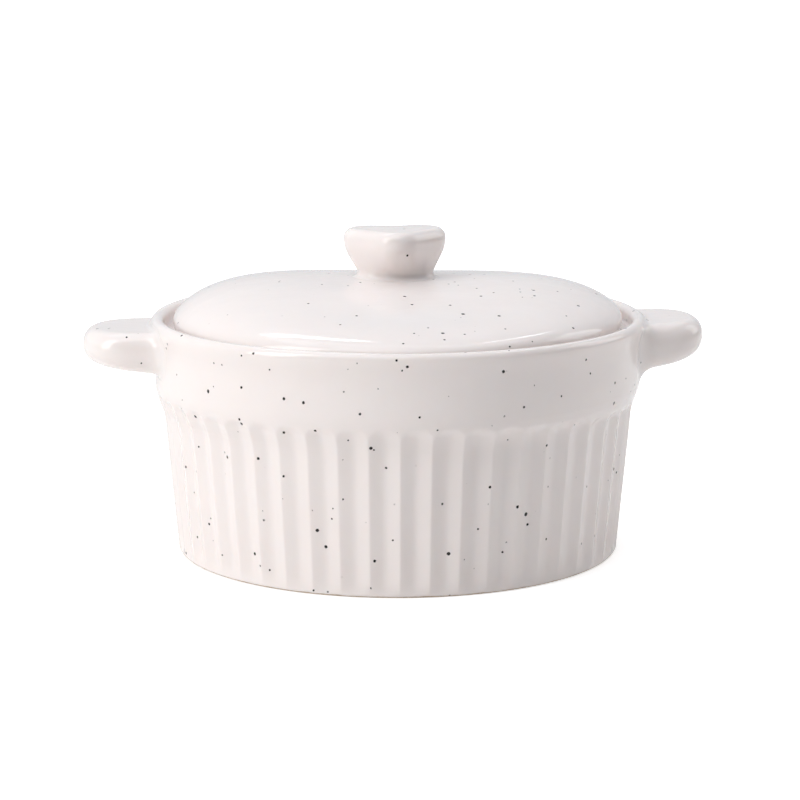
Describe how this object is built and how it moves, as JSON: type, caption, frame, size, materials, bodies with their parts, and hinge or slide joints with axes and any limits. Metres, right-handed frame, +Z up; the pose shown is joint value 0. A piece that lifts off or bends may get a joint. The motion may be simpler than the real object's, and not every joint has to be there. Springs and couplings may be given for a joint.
{
  "type": "covered casserole dish",
  "caption": "Small round covered casserole: fluted, speckled cream stoneware dish with ear-shaped side handles, and a domed lift-off lid with a heart-shaped knob.",
  "frame": {"origin": "centre of the foot ring, on the surface the dish stands on", "axes": "+X through the right handle, +Z up, -Y to the front, where the point of the heart is"},
  "size_m": [0.1652, 0.13, 0.0847],
  "materials": {
    "glazed_stoneware": "glossy warm off-white glaze with fine dark iron specks; bare foot ring"
  },
  "bodies": {
    "dish": {"dish_body": "glazed_stoneware", "left_handle": "glazed_stoneware", "right_handle": "glazed_stoneware"},
    "lid": {"lid_shell": "glazed_stoneware", "lid_knob": "glazed_stoneware"}
  },
  "joints": [
    {"name": "lid_lift", "type": "slide", "parent": "dish", "child": "lid", "axis": [0, 0, 1], "range_m": [0, 0.12]}
  ]
}
